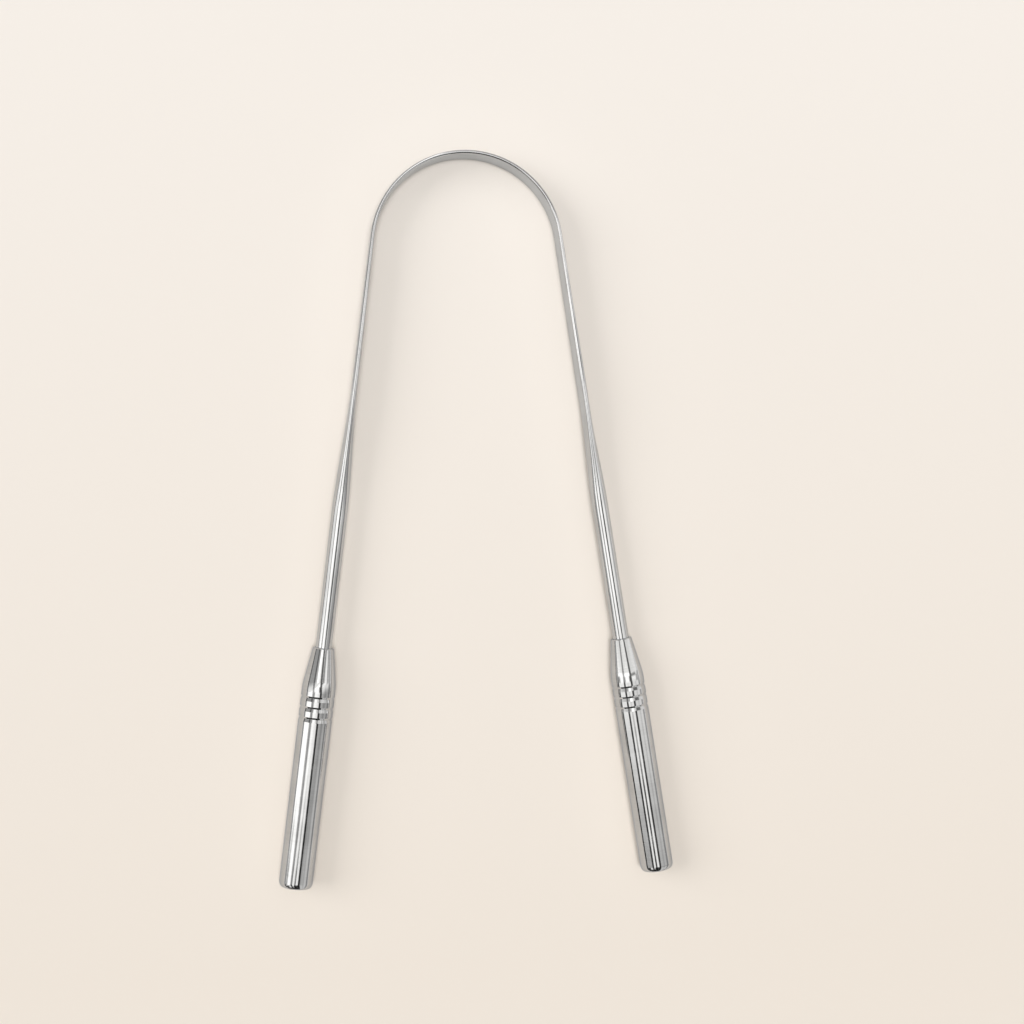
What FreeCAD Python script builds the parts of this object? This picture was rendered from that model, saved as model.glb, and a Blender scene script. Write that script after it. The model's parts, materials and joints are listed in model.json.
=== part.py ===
import FreeCAD, Part
import math
import os

# A two-handled tongue scraper, lying flat on its handles.
# +X points to the right arm, +Y to the bend and +Z up.
# The origin is on the ground, under the middle of the whole length.

# Wire bow, in millimetres and degrees
wire_diameter = 3.2
band_thickness = 0.9         # round the bend
arm_thickness = 1.25         # at the end of each flat arm
band_width = 6.6
band_bevel = 0.3             # breaks the four long edges of the band
wire_face_angle = 60.0       # on the round wire, where the band's face and its bevel end,
wire_bevel_angle = 75.0      # as turns from the outer side
bend_radius = 18.8           # to the middle of the band's thickness
splay_angle = 8.0            # lean of each arm away from the length of the scraper
flat_arm_length = 28.7
runout_length = 27.5         # where the band turns back into round wire
runout_steps = 8
round_arm_length = 26.0      # bare round wire between the run-out and the handle
wire_tip_chamfer = 0.3

# Handles
handle_diameter = 6.7
handle_length = 48.0
handle_edge_radius = 0.5
neck_wall = 0.5              # wall round the wire at the mouth of the handle
neck_chamfer = 0.15
nose_length = 7.65           # tapered nose, from the mouth to the corner at the grip
nose_blend_radius = 13.0
groove_count = 3
groove_setback = 2.37        # from the end of the nose to the middle of the first groove
groove_pitch = 2.07
groove_width = 1.0
groove_front = 0.35          # its steep front flank; the rest is a long shallow flank
groove_depth = 0.16
socket_depth = 12.0
socket_clearance = 0.03
socket_floor = 2.5           # metal between the wire socket and the bored back
bore_wall = 0.9

# End plugs
plug_seat_width = 0.25       # step in the bore that the head of the plug sits on
plug_head_thickness = 1.2
plug_spigot_length = 4.0
plug_clearance = 0.02
plug_edge_chamfer = 0.15
plug_lead_in = 0.4

# Radii that follow from the sizes above
wire_radius = wire_diameter / 2
handle_radius = handle_diameter / 2
socket_radius = wire_radius + socket_clearance
neck_radius = socket_radius + neck_wall
bore_radius = handle_radius - bore_wall
plug_seat_radius = bore_radius + plug_seat_width

# Right arm: where it leaves the bend, the way it runs, and its outer side
splay_turn = math.radians(splay_angle)
up = FreeCAD.Vector(0, 0, 1)
bend_centre = FreeCAD.Vector(0, 0, 0)
arm_outward = FreeCAD.Vector(math.cos(splay_turn), math.sin(splay_turn), 0)
arm_along = FreeCAD.Vector(math.sin(splay_turn), -math.cos(splay_turn), 0)
arm_start = bend_centre + arm_outward * bend_radius
runout_end = flat_arm_length + runout_length
mouth_run = runout_end + round_arm_length
wire_end_run = mouth_run + socket_depth


def between(first, last, share):
    """The value that lies the given share of the way from first to last."""
    return first + (last - first) * share


def mirrored(shape):
    """The same piece on the left arm."""
    return shape.mirror(bend_centre, FreeCAD.Vector(1, 0, 0))


def wire_outline(run, roundness):
    """Outline across the arm: a bevelled flat band at roundness 0, the round wire at roundness 1."""
    middle = arm_start + arm_along * run
    along_flat = min(run / flat_arm_length, 1)
    half_thickness = between(band_thickness, arm_thickness, along_flat) / 2
    half_width = band_width / 2
    band_quarter = [(half_thickness, half_width - band_bevel), (half_thickness - band_bevel, half_width)]
    round_quarter = [math.radians(wire_face_angle), math.radians(wire_bevel_angle)]

    def spot(out, rise):
        return middle + arm_outward * out + up * rise

    def round_spot(turn):
        return spot(wire_radius * math.cos(turn), wire_radius * math.sin(turn))

    band_corners = [spot(out, rise) for out, rise in band_quarter]
    band_corners += [spot(-out, rise) for out, rise in reversed(band_quarter)]
    band_corners += [spot(-out, -rise) for out, rise in band_quarter]
    band_corners += [spot(out, -rise) for out, rise in reversed(band_quarter)]
    turns = round_quarter + [math.pi - turn for turn in reversed(round_quarter)]
    turns += [math.pi + turn for turn in turns]
    sides = []
    for index, turn in enumerate(turns):
        after = (index + 1) % len(turns)
        turn_after = turns[after] + (2 * math.pi if after == 0 else 0)
        start = between(band_corners[index], round_spot(turn), roundness)
        end = between(band_corners[after], round_spot(turn_after), roundness)
        flat_middle = (band_corners[index] + band_corners[after]) / 2
        crown = between(flat_middle, round_spot((turn + turn_after) / 2), roundness)
        side = Part.Arc(start, crown, end) if roundness else Part.LineSegment(start, end)
        sides.append(side.toShape())
    return Part.Wire(sides)


def make_runout():
    """The band swells from its pressed section to the full round of the wire."""
    outlines = []
    for step in range(runout_steps + 1):
        share = step / runout_steps
        ease = share * share * (3 - 2 * share)
        outlines.append(wire_outline(flat_arm_length + runout_length * share, ease))
    return Part.makeLoft(outlines, True, False)


def make_bow():
    """One wire: the bend, then on each side a flat arm, a run-out and a round end for the handle."""
    band_face = Part.Face(wire_outline(0, 0))
    bend = band_face.revolve(bend_centre, up, 180 - 2 * splay_angle)
    flat_arm = Part.makeLoft([wire_outline(0, 0), wire_outline(flat_arm_length, 0)], True, True)
    chamfer_run = wire_end_run - wire_tip_chamfer
    round_arm = Part.Face(wire_outline(runout_end, 1)).extrude(arm_along * (chamfer_run - runout_end))
    tip = Part.makeCone(
        wire_radius, wire_radius - wire_tip_chamfer, wire_tip_chamfer,
        arm_start + arm_along * chamfer_run, arm_along,
    )
    right_arm = [flat_arm, make_runout(), round_arm, tip]
    left_arm = [mirrored(piece) for piece in right_arm]
    return bend.multiFuse(right_arm + left_arm).removeSplitter()


def handle_spot(distance, radius):
    """A point in the handle's length section, measured from the mouth and from the middle line."""
    return arm_start + arm_along * (mouth_run + distance) + arm_outward * radius


def turned(corners):
    """A solid turned about the handle's middle line; a corner is a distance, a radius and a rounding."""
    points = [handle_spot(distance, radius) for distance, radius, rounding in corners]
    bends = []
    for index, (distance, radius, rounding) in enumerate(corners):
        corner = points[index]
        back = (points[index - 1] - corner).normalize()
        ahead = (points[(index + 1) % len(points)] - corner).normalize()
        half_turn = back.getAngle(ahead) / 2
        reach = rounding / math.tan(half_turn)
        crown = corner + (back + ahead).normalize() * (rounding / math.sin(half_turn) - rounding)
        bends.append((corner + back * reach, crown, corner + ahead * reach))
    edges = []
    for index, (start, crown, end) in enumerate(bends):
        if start != end:
            edges.append(Part.Arc(start, crown, end).toShape())
        next_start = bends[(index + 1) % len(bends)][0]
        edges.append(Part.LineSegment(end, next_start).toShape())
    section = Part.Face(Part.Wire(edges))
    return section.revolve(handle_spot(0, 0), arm_along, 360)


def make_handle():
    """Turned sleeve: tapered nose with a blind socket for the wire, grooved grip and a bored back."""
    seat_distance = handle_length - plug_head_thickness
    bore_start = socket_depth + socket_floor
    nose = [
        (0, socket_radius, 0),
        (0, neck_radius - neck_chamfer, 0),
        (neck_chamfer, neck_radius, 0),
        (nose_length, handle_radius, nose_blend_radius),
    ]
    grooves = []
    for index in range(groove_count):
        front = nose_length + groove_setback + groove_pitch * index - groove_width / 2
        grooves.append((front, handle_radius, 0))
        grooves.append((front + groove_front, handle_radius - groove_depth, 0))
        grooves.append((front + groove_width, handle_radius, 0))
    back = [
        (handle_length, handle_radius, handle_edge_radius),
        (handle_length, plug_seat_radius, 0),
        (seat_distance, plug_seat_radius, 0),
        (seat_distance, bore_radius, 0),
        (bore_start, bore_radius, 0),
        (bore_start, 0, 0),
    ]
    socket = [
        (socket_depth, 0, 0),
        (socket_depth, socket_radius, 0),
    ]
    return turned(nose + grooves + back + socket)


def make_plug():
    """Turned plug: a head flush with the handle's end, and a spigot in its bore."""
    head_distance = handle_length - plug_head_thickness
    spigot_distance = head_distance - plug_spigot_length
    head_radius = plug_seat_radius - plug_clearance
    spigot_radius = bore_radius - plug_clearance
    return turned([
        (handle_length, 0, 0),
        (handle_length, head_radius - plug_edge_chamfer, 0),
        (handle_length - plug_edge_chamfer, head_radius, 0),
        (head_distance, head_radius, 0),
        (head_distance, spigot_radius, 0),
        (spigot_distance + plug_lead_in, spigot_radius, 0),
        (spigot_distance, spigot_radius - plug_lead_in, 0),
        (spigot_distance, 0, 0),
    ])


def ground_shift():
    """Brings the middle of the whole length to the origin and the underside of the handles to the ground."""
    crown_y = bend_radius + band_thickness / 2
    edge_middle = handle_spot(handle_length - handle_edge_radius, -(handle_radius - handle_edge_radius))
    back_y = edge_middle.y - handle_edge_radius
    return FreeCAD.Vector(0, -(crown_y + back_y) / 2, handle_radius)


handle_right = make_handle()
plug_right = make_plug()
pieces = {
    "scraper_bow": make_bow(),
    "handle_right": handle_right,
    "handle_left": mirrored(handle_right),
    "end_plug_right": plug_right,
    "end_plug_left": mirrored(plug_right),
}

os.makedirs("parts", exist_ok=True)
for name, piece in pieces.items():
    placed = piece.translated(ground_shift())
    placed.exportStep("parts/" + name + ".step")
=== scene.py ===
# %% [markdown]
# # A tongue scraper of polished steel
# The tool is one length of round steel wire, pressed flat into a band where it scrapes, with a
# turned steel handle on each end. Its solids are already measured and packed. This lesson keeps
# every size and place they give, and makes the smooth, polished surfaces that a mirror finish needs:
# a mirror shows each facet, so the flat facets of the solids would break the reflections.

# %% Load the measured solids
import json
import math

import bmesh
import bpy
from mathutils import Matrix, Quaternion, Vector


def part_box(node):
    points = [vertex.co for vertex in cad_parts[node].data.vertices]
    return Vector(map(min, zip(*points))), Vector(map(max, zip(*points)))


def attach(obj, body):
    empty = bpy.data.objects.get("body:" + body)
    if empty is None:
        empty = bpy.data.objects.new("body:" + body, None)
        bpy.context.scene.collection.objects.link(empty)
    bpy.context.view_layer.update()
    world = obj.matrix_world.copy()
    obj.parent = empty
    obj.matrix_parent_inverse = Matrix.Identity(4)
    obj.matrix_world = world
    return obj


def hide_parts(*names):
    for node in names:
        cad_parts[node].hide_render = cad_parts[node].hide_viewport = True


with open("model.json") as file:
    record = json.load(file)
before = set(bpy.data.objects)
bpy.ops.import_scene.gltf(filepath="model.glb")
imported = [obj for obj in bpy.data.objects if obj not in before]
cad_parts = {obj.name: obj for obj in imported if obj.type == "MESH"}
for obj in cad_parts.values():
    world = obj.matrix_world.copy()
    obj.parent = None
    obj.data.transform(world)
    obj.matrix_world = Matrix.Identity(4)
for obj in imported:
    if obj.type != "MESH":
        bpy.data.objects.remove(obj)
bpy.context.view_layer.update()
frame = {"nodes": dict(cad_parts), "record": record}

mm = 0.001
print("nodes", sorted(frame["nodes"]))

# %% [markdown]
# ## Read the sizes that the solids carry
# The record names the straight grip of each handle as a pin, with its middle, direction, radius and
# length. From the right grip and the box of the bow follow the lean of the arms, the end of the
# handle and the middle of the bend, so nothing has to be fitted by eye.

# %% Sizes from the frame
grip = {mount["name"]: mount for mount in frame["record"]["mounts"]}["grip_right"]
grip_middle = Vector(grip["pos_m"])
arm_along = Vector(grip["axis"])
handle_radius = grip["dims"]["r_mm"] * mm
grip_length = grip["dims"]["length_mm"] * mm
bow_low, bow_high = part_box("scraper_bow")
band_width = bow_high.z - bow_low.z
middle_height = grip_middle.z
splay = math.atan2(arm_along.x, -arm_along.y)
print("splay", round(math.degrees(splay), 2), "band width", round(band_width / mm, 3))

# %% Sizes of the wire and the handle
wire_radius = 1.6 * mm
band_thickness = 0.9 * mm
arm_thickness = 1.25 * mm
bend_radius = 18.8 * mm
flat_arm = 28.7 * mm
runout = 27.5 * mm
round_arm = 26.0 * mm
socket_depth = 12.0 * mm
handle_length = 48.0 * mm
handle_edge = 0.5 * mm

handle_end = grip_middle + arm_along * (grip_length / 2 + handle_edge)
handle_mouth = handle_end - arm_along * handle_length
bend_centre = Vector((0, bow_high.y - bend_radius - band_thickness / 2, middle_height))
print("mouth of the right handle", [round(value / mm, 2) for value in handle_mouth])

# %% [markdown]
# ## A way to write node trees as sums
# The shapes below follow rules, so Geometry Nodes make them. A rule such as a sine or a blend takes
# many Math nodes, and wiring them one by one hides the rule. The small class here stands for a value
# inside a tree: adding or multiplying two of them adds the node, so the script reads like the rule.

# %% Values inside a node tree
def feed(tree, socket, value):
    """Links a value into a socket, or writes a plain number there."""
    if isinstance(value, Field):
        tree.links.new(value.socket, socket)
    else:
        socket.default_value = value


def reckon(tree, operation, *values):
    """One Math node."""
    node = tree.nodes.new("ShaderNodeMath")
    node.operation = operation
    for socket, value in zip(node.inputs, values):
        feed(tree, socket, value)
    return Field(tree, node.outputs[0])


class Field:
    """A value that a node tree works out at every point, written like a number."""

    def __init__(self, tree, socket):
        self.tree = tree
        self.socket = socket

    def math(self, operation, *others):
        return reckon(self.tree, operation, self, *others)

    def __add__(self, other):
        return self.math("ADD", other)

    def __radd__(self, other):
        return self.math("ADD", other)

    def __sub__(self, other):
        return self.math("SUBTRACT", other)

    def __rsub__(self, other):
        return reckon(self.tree, "SUBTRACT", other, self)

    def __mul__(self, other):
        return self.math("MULTIPLY", other)

    def __rmul__(self, other):
        return self.math("MULTIPLY", other)

    def __truediv__(self, other):
        return self.math("DIVIDE", other)


def blend(first, last, share):
    """The value that lies the given share of the way from first to last."""
    return first + (last - first) * share


def ease(value, low, high):
    """0 below low, 1 above high, and a soft S between them."""
    node = value.tree.nodes.new("ShaderNodeMapRange")
    node.interpolation_type = "SMOOTHSTEP"
    feed(value.tree, node.inputs["Value"], value)
    feed(value.tree, node.inputs["From Min"], low)
    feed(value.tree, node.inputs["From Max"], high)
    return Field(value.tree, node.outputs["Result"])


print("helpers ready: feed, reckon, Field, blend, ease")

# %% [markdown]
# ## Trees with named inputs, and plain meshes from them
# A tree is kept general: its sizes are named inputs, and the modifier on the piece fills them in. When
# the tree has done its work, the evaluated mesh is kept and the modifier goes, so that what leaves
# Blender is a plain mesh.

# %% Node tree helpers
socket_kinds = {
    float: "NodeSocketFloat",
    int: "NodeSocketInt",
    Vector: "NodeSocketVector",
    bpy.types.Material: "NodeSocketMaterial",
}


def new_shape_tree(name, settings):
    """A Geometry Nodes tree with one named input for each setting."""
    tree = bpy.data.node_groups.new(name, "GeometryNodeTree")
    tree.interface.new_socket(name="Geometry", in_out="INPUT", socket_type="NodeSocketGeometry")
    tree.interface.new_socket(name="Geometry", in_out="OUTPUT", socket_type="NodeSocketGeometry")
    for label, value in settings.items():
        tree.interface.new_socket(name=label, in_out="INPUT", socket_type=socket_kinds[type(value)])
    inputs = tree.nodes.new("NodeGroupInput")
    return tree, {socket.name: Field(tree, socket) for socket in inputs.outputs if socket.name}


def node(tree, kind, output, **sockets):
    """A node of the given kind, its sockets fed by name, and one of its outputs."""
    made = tree.nodes.new(kind)
    for label, value in sockets.items():
        feed(tree, made.inputs[label.replace("_", " ")], value)
    return Field(tree, made.outputs[output])


def parts_of(vector):
    """The three numbers of a vector."""
    made = vector.tree.nodes.new("ShaderNodeSeparateXYZ")
    feed(vector.tree, made.inputs[0], vector)
    return [Field(vector.tree, output) for output in made.outputs]


def joined(x, y, z):
    """A vector from three numbers."""
    return node(x.tree, "ShaderNodeCombineXYZ", "Vector", X=x, Y=y, Z=z)


seam_gap = 0.001 * mm


def close_shape(tree, skin, place, pattern_name, pattern_place, material):
    """Moves a grid to its place, closes its seam and ends, and finishes the tree."""
    keep = tree.nodes.new("GeometryNodeStoreNamedAttribute")
    keep.data_type = "FLOAT_VECTOR"
    keep.inputs["Name"].default_value = pattern_name
    feed(tree, keep.inputs["Geometry"], skin)
    feed(tree, keep.inputs["Value"], pattern_place)
    moved = node(tree, "GeometryNodeSetPosition", "Geometry",
                 Geometry=Field(tree, keep.outputs["Geometry"]), Position=place)
    merged = node(tree, "GeometryNodeMergeByDistance", "Geometry", Geometry=moved, Distance=seam_gap)
    outward = node(tree, "GeometryNodeFlipFaces", "Mesh", Mesh=merged)
    smooth = node(tree, "GeometryNodeSetShadeSmooth", "Geometry", Geometry=outward)
    real = node(tree, "GeometryNodeRealizeInstances", "Geometry", Geometry=smooth)
    painted = node(tree, "GeometryNodeSetMaterial", "Geometry", Geometry=real, Material=material)
    output = tree.nodes.new("NodeGroupOutput")
    tree.links.new(painted.socket, output.inputs["Geometry"])


def shaped_piece(name, start_mesh, tree, settings):
    """Runs a tree on a starting mesh and keeps the result as a plain mesh, at the origin."""
    piece = bpy.data.objects.new(name, start_mesh)
    bpy.context.scene.collection.objects.link(piece)
    modifier = piece.modifiers.new("Shape", "NODES")
    modifier.node_group = tree
    for item in tree.interface.items_tree:
        if item.name in settings:
            modifier[item.identifier] = settings[item.name]
    graph = bpy.context.evaluated_depsgraph_get()
    shaped = piece.evaluated_get(graph)
    mesh = bpy.data.meshes.new_from_object(shaped, preserve_all_data_layers=True, depsgraph=graph)
    piece.modifiers.remove(modifier)
    piece.data = mesh
    return piece


def measure(piece):
    """Prints a piece's triangles, volume and open edges. Outward faces give a volume above zero."""
    shell = bmesh.new()
    shell.from_mesh(piece.data)
    triangles = len(shell.calc_loop_triangles())
    volume = shell.calc_volume(signed=True) / mm ** 3
    open_edges = sum(1 for edge in shell.edges if len(edge.link_faces) != 2)
    shell.free()
    print(piece.name, triangles, "triangles", round(volume, 1), "cubic mm", open_edges, "open edges")


print("helpers ready: new_shape_tree, close_shape, shaped_piece, measure")

# %% [markdown]
# ## The finish: mirror-polished stainless steel
# Polished steel is a metal with a very small roughness. What makes it look real is how little it is
# perfect: the last polishing leaves fine lines that run the way the piece was worked, hands leave a
# faint haze, and the surface is never quite flat, so reflected lines waver. The lines have to follow
# the piece, so each mesh carries its own coordinates: the wire as if it were still straight, and the
# turned pieces as they sat on the lathe. The rim colour is the shader's tint at a glancing angle, which
# sets how dark the outline of each piece is.

# %% A noise that can be stretched
def noise(tree, place, stretch, detail, turn=(0, 0, 0)):
    """A soft noise from 0 to 1. Stretch gives how many times it changes per metre along each axis."""
    mapping = tree.nodes.new("ShaderNodeMapping")
    mapping.inputs["Scale"].default_value = stretch
    mapping.inputs["Rotation"].default_value = turn
    feed(tree, mapping.inputs["Vector"], place)
    texture = tree.nodes.new("ShaderNodeTexNoise")
    texture.inputs["Scale"].default_value = 1
    texture.inputs["Detail"].default_value = detail
    tree.links.new(mapping.outputs["Vector"], texture.inputs["Vector"])
    return Field(tree, texture.outputs["Fac"])


def ramp(value, low_colour, high_colour):
    """A colour between two others."""
    made = value.tree.nodes.new("ShaderNodeMix")
    made.data_type = "RGBA"
    feed(value.tree, made.inputs["Factor"], value)
    for socket in made.inputs:
        if socket.type == "RGBA" and socket.name == "A":
            socket.default_value = (*low_colour, 1)
        if socket.type == "RGBA" and socket.name == "B":
            socket.default_value = (*high_colour, 1)
    colour = [socket for socket in made.outputs if socket.type == "RGBA"][0]
    return Field(value.tree, colour)


print("helpers ready: noise, ramp")

# %% Polished steel
haze_per_metre = 140
wave_per_metre = 230
wave_height = 0.011 * mm
scratch_stretch = (9000, 900, 400)
scratch_turn = (0.5, 0.3, 0.9)
scratch_depth = 0.0004 * mm
tone_range = (0.3, 0.62)
haze_range = (0.42, 0.75)
line_range = (0.35, 0.8)
scratch_range = (0.69, 0.73)
haze_rough = 0.07
line_rough = 0.05
scratch_rough = 0.12
steel_dark = (0.49, 0.50, 0.512)
steel_light = (0.572, 0.585, 0.599)
wire_rim = (0.76, 0.785, 0.81, 1)
turned_rim = (0.575, 0.62, 0.685, 1)


def polished_steel(name, pattern_name, line_stretch, smoothest, line_depth, rim_colour):
    """Steel whose lines, haze and slight waviness follow the coordinates stored on the mesh."""
    material = bpy.data.materials.new(name)
    material.use_nodes = True
    tree = material.node_tree
    shader = tree.nodes["Principled BSDF"]
    stored = tree.nodes.new("ShaderNodeAttribute")
    stored.attribute_name = pattern_name
    place = Field(tree, stored.outputs["Vector"])
    lines = noise(tree, place, line_stretch, detail=3)
    haze = noise(tree, place, (haze_per_metre,) * 3, detail=4)
    waves = noise(tree, place, (wave_per_metre,) * 3, detail=1)
    scratch = noise(tree, place, scratch_stretch, detail=1, turn=scratch_turn)
    scratches = ease(scratch, *scratch_range)

    tone = ease(haze * 0.7 + lines * 0.3, *tone_range)
    feed(tree, shader.inputs["Base Color"], ramp(tone, steel_dark, steel_light))
    shader.inputs["Metallic"].default_value = 1
    shader.inputs["Specular Tint"].default_value = rim_colour
    rough = smoothest + ease(haze, *haze_range) * haze_rough + ease(lines, *line_range) * line_rough
    feed(tree, shader.inputs["Roughness"], rough + scratches * scratch_rough)

    ridges = node(tree, "ShaderNodeBump", "Normal", Height=lines, Distance=line_depth)
    nicks = node(tree, "ShaderNodeBump", "Normal",
                 Height=scratches, Distance=-scratch_depth, Normal=ridges)
    wavy = node(tree, "ShaderNodeBump", "Normal", Height=waves, Distance=wave_height, Normal=nicks)
    feed(tree, shader.inputs["Normal"], wavy)
    print("finish", name)
    return material


wire_finish = polished_steel(
    "mirror_polished_wire", "straight_wire", line_stretch=(9000, 9000, 160),
    smoothest=0.05, line_depth=0.0006 * mm, rim_colour=wire_rim,
)
handle_finish = polished_steel(
    "mirror_polished_handle", "on_the_lathe", line_stretch=(200, 200, 9000),
    smoothest=0.05, line_depth=0.0008 * mm, rim_colour=turned_rim,
)
plug_finish = polished_steel(
    "fine_turned_plug", "on_the_lathe", line_stretch=(5000, 5000, 5000),
    smoothest=0.16, line_depth=0.002 * mm, rim_colour=turned_rim,
)

# %% [markdown]
# ## The bow: one wire, flat and then round
# The bow is round wire that a press has flattened: a tall thin band round the bend and down the first
# part of each arm, then a run-out where the band narrows and swells back into the round wire. A profile
# swept along a curve would keep one section, and here the section changes all the way. So the tree
# starts from a grid, one direction along the wire and the other round it, and works out each point:
# first how far along the wire it is, then the size of the section there, then its place.

# %% Inputs of the bow's tree
bow_settings = {
    "Wire Radius": wire_radius,
    "Band Thickness": band_thickness,
    "Arm Thickness": arm_thickness,
    "Band Width": band_width,
    "Face Crown": math.radians(2.0),
    "Bend Radius": bend_radius,
    "Splay": splay,
    "Flat Arm": flat_arm,
    "Run Out": runout,
    "Round Arm": round_arm + socket_depth,
    "Tip": 0.3 * mm,
    "Bend Centre": bend_centre,
    "Rows": 560,
    "Points Around": 80,
    "Finish": wire_finish,
}
bow_tree, bow = new_shape_tree("bow_from_wire", bow_settings)
print("bow tree inputs:", ", ".join(bow_settings))

# %% How far along the wire
bow_grid = node(bow_tree, "GeometryNodeMeshGrid", "Mesh", Size_X=1.0, Size_Y=1.0,
                Vertices_X=bow["Rows"], Vertices_Y=bow["Points Around"] + 1)
grid_place = node(bow_tree, "GeometryNodeInputPosition", "Position")
along_share, around_share = parts_of(grid_place)[:2]

bend_turn = math.pi / 2 - bow["Splay"]
half_bend = bow["Bend Radius"] * bend_turn
half_wire = half_bend + bow["Flat Arm"] + bow["Run Out"] + bow["Round Arm"]
from_crown = along_share * half_wire * 2
side = from_crown.math("SIGN")
distance = from_crown.math("ABSOLUTE")
past_bend = (distance - half_bend).math("MAXIMUM", 0)
turn = distance.math("MINIMUM", half_bend) / bow["Bend Radius"]
half_length = bend_radius * (math.pi / 2 - splay) + flat_arm + runout + round_arm + socket_depth
print("half the wire is", round(half_length / mm, 1), "mm")

# %% [markdown]
# The section is an oval of four arcs: two wide faces with a slight crown and two round edges. Its half
# thickness and half width blend from the band to the round wire, and so does the angle that each face
# covers: at 45 degrees and equal halves, the four arcs are one circle.

# %% The section at that distance
roundness = ease(past_bend, bow["Flat Arm"], bow["Flat Arm"] + bow["Run Out"])
along_flat = (past_bend / bow["Flat Arm"]).math("MINIMUM", 1)
half_band = blend(bow["Band Thickness"], bow["Arm Thickness"], along_flat) / 2
half_thick = blend(half_band, bow["Wire Radius"], roundness)
half_wide = blend(bow["Band Width"] / 2, bow["Wire Radius"], roundness)
face_turn = blend(bow["Face Crown"], math.pi / 4, roundness)
face_cosine = face_turn.math("COSINE")
face_sine = face_turn.math("SINE")
radius_gain = (half_wide - half_thick) / (face_sine + face_cosine - 1)
edge_radius = half_thick - radius_gain * (1 - face_cosine)

# Spread the points: on the band a good third of them over the faces, the rest over the tight edges.
band_face_share = 0.35
wire_face_share = 0.5
quarter = ((around_share + 0.5) * 4).math("PINGPONG", 1)
on_face = blend(band_face_share, wire_face_share, roundness)
face_part = (quarter / on_face).math("MINIMUM", 1)
edge_part = ((quarter - on_face) / (1 - on_face)).math("MAXIMUM", 0)
tilt = face_turn * face_part + (math.pi / 2 - face_turn) * edge_part
tilt_cosine = tilt.math("COSINE")
tilt_sine = tilt.math("SINE")
circle_turn = (around_share + 0.5) * (2 * math.pi)
out_side = circle_turn.math("COSINE").math("SIGN")
up_side = circle_turn.math("SINE").math("SIGN")
tip_scale = ((half_wire - distance) / bow["Tip"]).math("MINIMUM", 1)
half_out = edge_radius * tilt_cosine + radius_gain * (tilt_cosine - face_cosine).math("MAXIMUM", 0)
half_rise = edge_radius * tilt_sine + radius_gain * tilt_sine.math("MINIMUM", face_sine)
out = out_side * tip_scale * half_out
rise = up_side * tip_scale * half_rise
print("section from", round(band_thickness / mm, 2), "by", round(band_width / mm, 2), "mm to round")

# %% The place of each point, and the finished bow
centre_x, centre_y, centre_z = parts_of(bow["Bend Centre"])
turn_sine = turn.math("SINE")
turn_cosine = turn.math("COSINE")
reach = bow["Bend Radius"] + out
bow_place = joined(
    centre_x + side * (reach * turn_sine + past_bend * turn_cosine),
    centre_y + reach * turn_cosine - past_bend * turn_sine,
    centre_z + rise,
)
bow_pattern = joined(out, rise, from_crown)
close_shape(bow_tree, bow_grid, bow_place, "straight_wire", bow_pattern, bow["Finish"])
bow_start = bpy.data.meshes.new("bow_start")
scraper_bow = shaped_piece("bow_of_flattened_wire", bow_start, bow_tree, bow_settings)
measure(scraper_bow)

# %% [markdown]
# ## The lathe: one tree for handles and plugs
# The handles and the plugs in their ends are turned parts. A lathe shapes an outline and spins it, so
# the tree does the same: it takes a line of points, each a distance along the axis and a radius, and
# spins it round the axis. Four pieces then share one tree, and only the outlines differ.

# %% The lathe tree
lathe_settings = {
    "Foot": handle_mouth,
    "Axis": arm_along,
    "Points Around": 160,
    "Finish": handle_finish,
}
lathe_tree, lathe = new_shape_tree("turned_on_the_lathe", lathe_settings)
outline = lathe["Geometry"]
outline_count = node(lathe_tree, "GeometryNodeAttributeDomainSize", "Point Count", Geometry=outline)
lathe_grid = node(lathe_tree, "GeometryNodeMeshGrid", "Mesh", Size_X=1.0, Size_Y=1.0,
                  Vertices_X=outline_count, Vertices_Y=lathe["Points Around"] + 1)
lathe_position = node(lathe_tree, "GeometryNodeInputPosition", "Position")
outline_share, spin_share = parts_of(lathe_position)[:2]
outline_index = ((outline_share + 0.5) * (outline_count - 1)).math("ROUND")

look_up = lathe_tree.nodes.new("GeometryNodeSampleIndex")
look_up.data_type = "FLOAT_VECTOR"
feed(lathe_tree, look_up.inputs["Geometry"], outline)
feed(lathe_tree, look_up.inputs["Value"], lathe_position)
feed(lathe_tree, look_up.inputs["Index"], outline_index)
run, radius = parts_of(Field(lathe_tree, look_up.outputs["Value"]))[:2]

spin = (spin_share + 0.5) * (2 * math.pi)
across = radius * spin.math("COSINE")
above = radius * spin.math("SINE")
foot_x, foot_y, foot_z = parts_of(lathe["Foot"])
axis_x, axis_y = parts_of(lathe["Axis"])[:2]
lathe_place = joined(
    foot_x + axis_x * run - axis_y * across,
    foot_y + axis_y * run + axis_x * across,
    foot_z + above,
)
lathe_pattern = joined(across, above, run)
close_shape(lathe_tree, lathe_grid, lathe_place, "on_the_lathe", lathe_pattern, lathe["Finish"])
print("lathe tree inputs:", ", ".join(lathe_settings))

# %% [markdown]
# ## Outlines with broken edges
# No machined edge is perfectly sharp: a polisher takes the corner off, and that tiny round catches a
# line of light. Each corner of an outline therefore has its own rounding. Two points close to each
# round hold the straight parts straight, so that smooth shading doesn't bleed into them.

# %% Outline helper
round_step = math.radians(9)
fewest_steps = 3
holding_gap = 0.05 * mm
largest_hold = 0.25
longest_run = 1.6 * mm


def straight_run(start, end):
    """Points between two others, close to each end and then evenly spaced."""
    length = (end - start).length
    hold = min(holding_gap / length, largest_hold)
    pieces = max(1, math.ceil(length / longest_run))
    shares = [hold] + [step / pieces for step in range(1, pieces)] + [1 - hold]
    return [start.lerp(end, share) for share in sorted(shares)]


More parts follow.
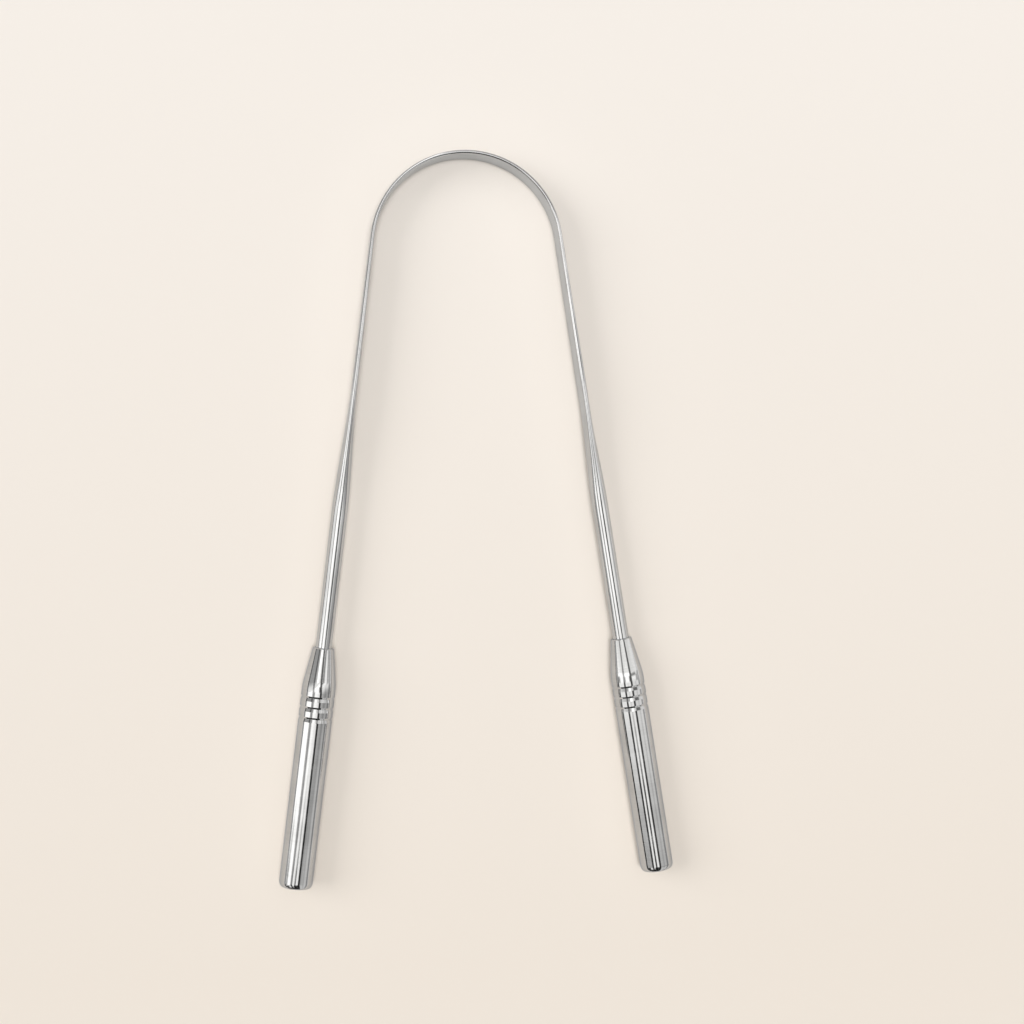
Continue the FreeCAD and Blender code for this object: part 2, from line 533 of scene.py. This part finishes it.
def rounded_outline(corners):
    """A line of points from corners, each a distance, a radius and the rounding that breaks it."""
    spots = [Vector(corner[:2]) for corner in corners]
    roundings = [corner[2] for corner in corners]
    arcs = [[spots[0]]]
    for before, corner, after, rounding in zip(spots, spots[1:], spots[2:], roundings[1:]):
        back = (before - corner).normalized()
        ahead = (after - corner).normalized()
        half_turn = back.angle(ahead) / 2
        centre = corner + (back + ahead).normalized() * (rounding / math.sin(half_turn))
        first = corner + back * (rounding / math.tan(half_turn)) - centre
        last = corner + ahead * (rounding / math.tan(half_turn)) - centre
        swing = first.angle_signed(last)
        steps = max(fewest_steps, math.ceil(abs(swing) / round_step))
        turns = [Matrix.Rotation(-swing * step / steps, 2) for step in range(steps + 1)]
        arcs.append([centre + turn @ first for turn in turns])
    arcs.append([spots[-1]])
    line = list(arcs[0])
    for arc_before, arc in zip(arcs, arcs[1:]):
        line += straight_run(arc_before[-1], arc[0]) + arc
    return line


def outline_mesh(name, line):
    """A mesh of loose points, in order, for the lathe tree."""
    mesh = bpy.data.meshes.new(name)
    mesh.from_pydata([(distance, radius, 0) for distance, radius in line], [], [])
    return mesh


print("helpers ready: straight_run, rounded_outline, outline_mesh")

# %% [markdown]
# ## The handles: tapered nose, three grooves, straight grip
# From the mouth, where the wire goes in, the handle widens along a tapered nose, blends into the grip,
# and then has three ring grooves. Each groove is cut with a steep front flank and a long shallow one,
# so its front shows as a dark line and its tail as a bright ring. The back is bored out, and its rim is
# polished into a quarter oval, longer along the handle than it is deep, where it meets the palm.

# %% Outline of a handle
neck_radius = 2.13 * mm
neck_chamfer = 0.15 * mm
nose_length = 7.65 * mm
nose_blend = 13.0 * mm
groove_count = 3
groove_first = 10.02 * mm
groove_pitch = 2.07 * mm
groove_width = 1.0 * mm
groove_front = 0.35 * mm
groove_depth = 0.16 * mm
fine_edge = 0.05 * mm
socket_radius = 1.63 * mm
bore_start = 14.5 * mm
bore_radius = 2.45 * mm
seat_radius = 2.7 * mm
plug_head = 1.2 * mm

rim_long = 1.1 * mm
rim_deep = 0.58 * mm
rim_corners = []
for angle in range(0, 91, 10):
    rim_turn = math.radians(angle)
    rim_distance = handle_length - rim_long * (1 - math.sin(rim_turn))
    rim_radius = handle_radius - rim_deep * (1 - math.cos(rim_turn))
    rim_corners.append((rim_distance, rim_radius, fine_edge))

handle_corners = [
    (socket_depth, 0, 0),
    (socket_depth, socket_radius, fine_edge),
    (0, socket_radius, fine_edge),
    (0, neck_radius - neck_chamfer, fine_edge),
    (neck_chamfer, neck_radius, fine_edge),
    (nose_length, handle_radius, nose_blend),
]
for groove in range(groove_count):
    groove_start = groove_first + groove_pitch * groove - groove_width / 2
    handle_corners += [
        (groove_start, handle_radius, fine_edge),
        (groove_start + groove_front, handle_radius - groove_depth, fine_edge),
        (groove_start + groove_width, handle_radius, fine_edge),
    ]
handle_corners += [
    *rim_corners,
    (handle_length, seat_radius, fine_edge),
    (handle_length - plug_head, seat_radius, fine_edge),
    (handle_length - plug_head, bore_radius, fine_edge),
    (bore_start, bore_radius, fine_edge),
    (bore_start, 0, 0),
]
handle_line = rounded_outline(handle_corners)
print("handle outline:", len(handle_line), "points")

# %% Turn both handles
mirror = Vector((-1, 1, 1))
arms = {
    "right": (handle_mouth, arm_along),
    "left": (handle_mouth * mirror, arm_along * mirror),
}


def turned_pair(name, line, finish):
    """The same turned piece on both arms."""
    pair = {}
    for arm, (mouth, axis) in arms.items():
        settings = {**lathe_settings, "Foot": mouth, "Axis": axis, "Finish": finish}
        pair[arm] = shaped_piece(name + "_" + arm, outline_mesh(name, line), lathe_tree, settings)
        measure(pair[arm])
    return pair


handles = turned_pair("turned_handle", handle_line, handle_finish)

# %% [markdown]
# ## The end plugs
# The bored back of each handle is closed by a turned plug: a head that sits flush in the rim and a
# spigot behind it. Only its face shows, with the fine rings that a facing cut leaves.

# %% Turn both plugs
plug_clearance = 0.02 * mm
plug_chamfer = 0.15 * mm
plug_spigot = 4.0 * mm
plug_lead_in = 0.4 * mm
head_radius = seat_radius - plug_clearance
spigot_radius = bore_radius - plug_clearance
head_start = handle_length - plug_head
spigot_start = head_start - plug_spigot

plug_line = rounded_outline([
    (spigot_start, 0, 0),
    (spigot_start, spigot_radius - plug_lead_in, fine_edge),
    (spigot_start + plug_lead_in, spigot_radius, fine_edge),
    (head_start, spigot_radius, fine_edge),
    (head_start, head_radius, fine_edge),
    (handle_length - plug_chamfer, head_radius, fine_edge),
    (handle_length, head_radius - plug_chamfer, fine_edge),
    (handle_length, 0, 0),
])
plugs = turned_pair("turned_end_plug", plug_line, plug_finish)

# %% [markdown]
# ## Tie the pieces to the frame
# Each finished piece takes the place of its solid and moves with the one rigid body of the tool.

# %% Ride, replace
def tie(piece, solid):
    """Puts a finished piece in the place of its solid."""
    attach(piece, "root")
    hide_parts(solid)


tie(scraper_bow, "scraper_bow")
for arm in arms:
    tie(handles[arm], "handle_" + arm)
    tie(plugs[arm], "end_plug_" + arm)
print("tied", 1 + 2 * len(arms), "pieces")

# %% [markdown]
# ## The floor
# The scraper lies on a pale warm sheet. A large plane is enough. Its colour is painted light: a touch
# lighter towards the bend and darker towards the handles, a painted falloff, with a very faint grain.

# %% Floor
floor_reach = 6.0
floor_mesh = bpy.data.meshes.new("pale_floor")
floor_corners = [(-floor_reach, -floor_reach, 0), (floor_reach, -floor_reach, 0),
                 (floor_reach, floor_reach, 0), (-floor_reach, floor_reach, 0)]
floor_mesh.from_pydata(floor_corners, [], [(0, 1, 2, 3)])
floor = bpy.data.objects.new("pale_floor", floor_mesh)
bpy.context.scene.collection.objects.link(floor)


def screen_colour(red, green, blue):
    """A colour given as screen values from 0 to 255, made linear."""
    return tuple(((value / 255 + 0.055) / 1.055) ** 2.4 for value in (red, green, blue))


floor_paint = bpy.data.materials.new("pale_sheet")
floor_paint.use_nodes = True
floor_tree = floor_paint.node_tree
floor_shader = floor_tree.nodes["Principled BSDF"]
# Painted light: the sheet's colour runs from darker near the handles to lighter near the bend.
painted_falloff_start = -0.09
painted_falloff_length = 0.2
grain_per_metre = 900
grain_tone = 0.04
grain_height = 0.01 * mm
painted_dim_near_handles = screen_colour(243, 233, 221)
painted_bright_near_bend = screen_colour(251, 244, 236)

floor_place = Field(floor_tree, floor_tree.nodes.new("ShaderNodeTexCoord").outputs["Object"])
floor_y = parts_of(floor_place)[1]
towards_bend = (floor_y - painted_falloff_start) / painted_falloff_length
grain = noise(floor_tree, floor_place, (grain_per_metre,) * 3, detail=4)
# Painted falloff of the light along the floor, plus a faint real grain.
painted_falloff_and_grain = towards_bend.math("MAXIMUM", 0).math("MINIMUM", 1) + (grain - 0.5) * grain_tone
feed(floor_tree, floor_shader.inputs["Base Color"], ramp(painted_falloff_and_grain, painted_dim_near_handles, painted_bright_near_bend))
floor_shader.inputs["Roughness"].default_value = 0.9
floor_shader.inputs["Specular IOR Level"].default_value = 0.0
feed(floor_tree, floor_shader.inputs["Normal"],
     node(floor_tree, "ShaderNodeBump", "Normal", Height=grain, Distance=grain_height))
floor_mesh.materials.append(floor_paint)
print("floor", 2 * floor_reach, "m wide")

# %% [markdown]
# ## The studio
# Polished metal looks like what surrounds it, so its stripes are made in the studio and not on the
# steel. Here a soft lamp spans the room overhead like a bright arch, square to the right arm. Thin dark
# cards hang along it, and the room falls off into the dark behind the handles. The world paints all
# this by direction: by the lean across the right arm, and by how far a direction points to the bend.
# The handles mirror directions below -0.19, the wire those about zero, and the noses and the crown of
# the bend those above 0.1, so each of them can have its own light.

# %% Directions in the room
world = bpy.data.worlds.new("studio")
world.use_nodes = True
bpy.context.scene.world = world
sky = world.node_tree
sky.nodes.clear()
direction = Field(sky, sky.nodes.new("ShaderNodeTexCoord").outputs["Generated"])
ray_x, ray_y, ray_z = parts_of(direction)
across_arm = ray_x * math.cos(splay) + ray_y * math.sin(splay)
to_bend = ray_y * math.cos(splay) - ray_x * math.sin(splay)
lean = across_arm / ray_z.math("MAXIMUM", 0.02)


def slope(value, low, high):
    """0 below low, 1 above high, and an even rise between them."""
    return ((value - low) / (high - low)).math("MAXIMUM", 0).math("MINIMUM", 1)


def between(value, low, high, soft):
    """1 from low to high, and 0 outside, with soft edges."""
    return ease(value, low - soft, low + soft) - ease(value, high - soft, high + soft)


print("helpers ready: slope, between")

# %% The arch of light, in panels
lamp_level = 2.0
near_level = 1.35
right_level = 1.5
behind_level = 0.6
least_level = 0.2
back_level = 1.2
far_level = 1.4
crown_level = 0.5
room_level = 0.08
panel_left = -0.71
panel_right = 0.26
panel_edge = 0.02
on_left = 1 - ease(lean, panel_left - panel_edge, panel_left + panel_edge)
on_right = ease(lean, panel_right - panel_edge, panel_right + panel_edge)
in_middle = 1 - on_left - on_right

left_panel = slope(to_bend, -0.33, -0.10) * lamp_level
middle_panel = ease(to_bend, -0.37, -0.29) * near_level
middle_panel = middle_panel + ease(to_bend, -0.18, -0.09) * (lamp_level - near_level)
behind = 1 - ease(to_bend, -0.50, -0.26)
right_panel = slope(to_bend, -0.36, -0.06) * right_level + behind * behind_level + least_level
right_panel = right_panel * (1 - between(to_bend, 0.02, 0.11, 0.04) * 0.35)
far_fall = 1 - ease(to_bend, 0.08, 0.16) * 0.40 - ease(to_bend, 0.19, 0.36) * 0.38
nose_strip = between(lean, -0.25, 0.06, 0.06) * far_level
crown_strip = between(lean, 0.06, 0.45, 0.06) * crown_level
far_panel = (nose_strip + crown_strip) * ease(to_bend, 0.17, 0.25)
back_panel = between(lean, -1.4, -0.42, 0.1) * between(to_bend, -0.6, -0.31, 0.04) * back_level
arch = (on_left * left_panel + in_middle * middle_panel + on_right * right_panel) * far_fall
arch = arch + far_panel + back_panel + room_level
print("arch of light", lamp_level, "room", room_level)

# %% [markdown]
# Each card is a strip of lean with soft edges, and a cover: the share of the light that it takes, which
# can change from the handles to the bend. One card makes one dark seam on the steel.

# %% The dark cards and the left wall
over_handles = 1 - ease(to_bend, -0.19, -0.06)
over_rod = between(to_bend, -0.13, 0.03, 0.03)
over_grip = 1 - ease(to_bend, -0.24, -0.15)
before_crown = 1 - ease(to_bend, 0.22, 0.30)
before_bend = 1 - ease(to_bend, 0.04, 0.1)
over_flat_arm = between(to_bend, 0.01, 0.08, 0.03) + between(to_bend, 0.22, 0.33, 0.02)

cards = {
    "left": (-0.85, -0.53, 0.04, 0.65 + over_handles * 0.30),
    "middle": (-0.29, -0.09, 0.03, over_grip * 0.95),
    "right": (0.15, 0.40, 0.03, (0.86 + over_handles * 0.08) * before_crown),
    "outer": (0.35, 1.3, 0.1, over_flat_arm * 0.7),
    "faint": (0.85, 1.25, 0.15, over_handles * 0.2),
    "far right": (2.5, 7.0, 0.4, before_bend * 0.55),
    "low right": (1.3, 2.5, 0.2, over_rod * 0.55),
    "low left": (-4.4, -1.8, 0.2, over_rod * 0.7),
}
left_wall = (1 - ease(lean, -4.2, -3.6)) * (0.75 + over_handles * 0.25)
rod_seams = between(lean, 0.04, 0.24, 0.03) * 0.7 + between(lean, -0.6, -0.42, 0.04) * 0.5 + 0.12
uncovered = (1 - left_wall) * (1 - rod_seams * over_rod)
for low, high, soft, cover in cards.values():
    uncovered = uncovered * (1 - between(lean, low, high, soft) * cover)
print("cards:", ", ".join(cards))

# %% [markdown]
# Near the floor the room ends in a pale, warm cove, so that the floor runs into a pale background.

# %% The cove and the finished world
cove_level = 0.9
cove_colour = (1.0, 0.94, 0.87)
lamp_colour = (1.03, 1.0, 0.96)
above_cove = ease(ray_z, 0.06, 0.09)
level = arch * uncovered * above_cove + cove_level * (1 - above_cove)

room_light = sky.nodes.new("ShaderNodeBackground")
feed(sky, room_light.inputs["Color"], ramp(above_cove, cove_colour, lamp_colour))
feed(sky, room_light.inputs["Strength"], level)
sky_output = sky.nodes.new("ShaderNodeOutputWorld")
sky.links.new(room_light.outputs["Background"], sky_output.inputs["Surface"])
print("cove", cove_level)

# %% [markdown]
# ## Lamps for the floor
# The painted room is there for the steel. On the floor it would wrap every piece in a dark halo, so the
# floor doesn't see it and has three far lamps of its own, which the steel doesn't mirror. A steep one
# keeps the edges clean, a broad one softens the foot of each piece, and a low one throws a soft shadow.

# %% Three far lamps
def far_lamp(name, comes_from, spread, strength):
    """A lamp far enough to light the whole floor alike. More spread, in degrees, softens its shadow."""
    data = bpy.data.lights.new(name, "SUN")
    data.angle = math.radians(spread)
    data.energy = strength
    lamp = bpy.data.objects.new(name, data)
    lamp.rotation_euler = Vector(comes_from).to_track_quat("Z", "Y").to_euler()
    lamp.visible_glossy = False
    lamp.visible_camera = False
    bpy.context.scene.collection.objects.link(lamp)
    print(name, strength, "W per square metre")


far_lamp("steep_lamp", comes_from=(-0.05, -0.1, 3.0), spread=19, strength=1.46)
far_lamp("broad_lamp", comes_from=(0, 0, 1), spread=110, strength=0.94)
far_lamp("low_lamp", comes_from=(-5.8, 1.6, 3.9), spread=40, strength=1.15)
world.cycles_visibility.diffuse = False

# %% [markdown]
# ## The camera
# The photograph looks almost straight down from about a third of a metre. The camera's spot, the point
# it looks at and its small roll come from fitting the outline of the tool.

# %% Camera
camera_spot = Vector((-30.07, 11.63, 322.94)) * mm
camera_target = Vector((8.226, 1.093, 3.35)) * mm
camera_roll = math.radians(1.116)
focal_pixels = 1600
image_pixels = 1024

camera_data = bpy.data.cameras.new("view_from_above")
camera_data.sensor_width = 36
camera_data.lens = camera_data.sensor_width * focal_pixels / image_pixels
camera_data.clip_start = 0.01
camera = bpy.data.objects.new("view_from_above", camera_data)
look = (camera_target - camera_spot).normalized()
level_up = (Vector((0, 1, 0)) - look * look.y).normalized()
camera_up = Quaternion(look, camera_roll) @ level_up
camera_side = look.cross(camera_up)
camera_turn = Matrix((camera_side, camera_up, -look)).transposed().to_4x4()
camera.matrix_world = Matrix.Translation(camera_spot) @ camera_turn
bpy.context.scene.collection.objects.link(camera)
bpy.context.scene.camera = camera
bpy.context.scene.view_settings.view_transform = "Standard"
print("lens", camera_data.lens, "mm")
